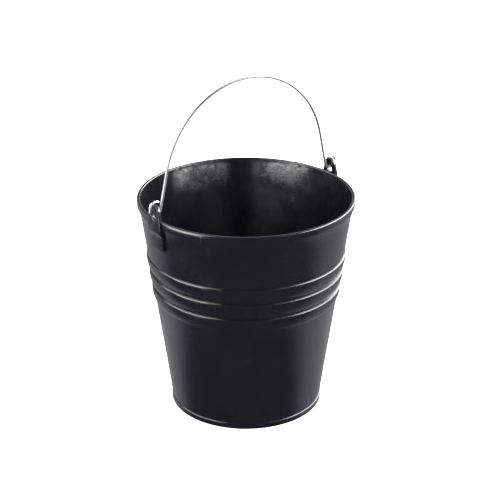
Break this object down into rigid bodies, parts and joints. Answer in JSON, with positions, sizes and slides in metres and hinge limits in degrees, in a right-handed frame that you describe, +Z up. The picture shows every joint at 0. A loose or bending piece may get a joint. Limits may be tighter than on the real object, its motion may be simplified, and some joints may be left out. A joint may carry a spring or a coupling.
{
  "type": "florist bucket",
  "caption": "Tapered black plastic bucket with raised bands, a rounded rim lip, a foot ring, moulded ears and a swinging steel wire bail hooked through them.",
  "frame": {"origin": "centre of the foot ring's underside, on the bucket's axis", "axes": "+Z up along the bucket's axis and the longest side with the bail raised; +X through one ear, along the bail's hinge axis; +Y across the ears, the shortest side"},
  "size_m": [0.2958, 0.28, 0.4446],
  "materials": {
    "bucket_plastic": "satin moulded, lightly scuffed",
    "bail_steel": "galvanised"
  },
  "bodies": {
    "bucket": {"bucket_wall": "bucket_plastic", "rim_lip": "bucket_plastic", "bucket_floor": "bucket_plastic", "foot_ring": "bucket_plastic", "ear_right": "bucket_plastic", "ear_left": "bucket_plastic"},
    "bail": {"bail_wire": "bail_steel"}
  },
  "joints": [
    {"name": "bail_swing", "type": "hinge", "parent": "bucket", "child": "bail", "pos_m": [0, 0, 0.2954], "axis": [1, 0, 0], "range_deg": [-93.8, 93.8]}
  ]
}
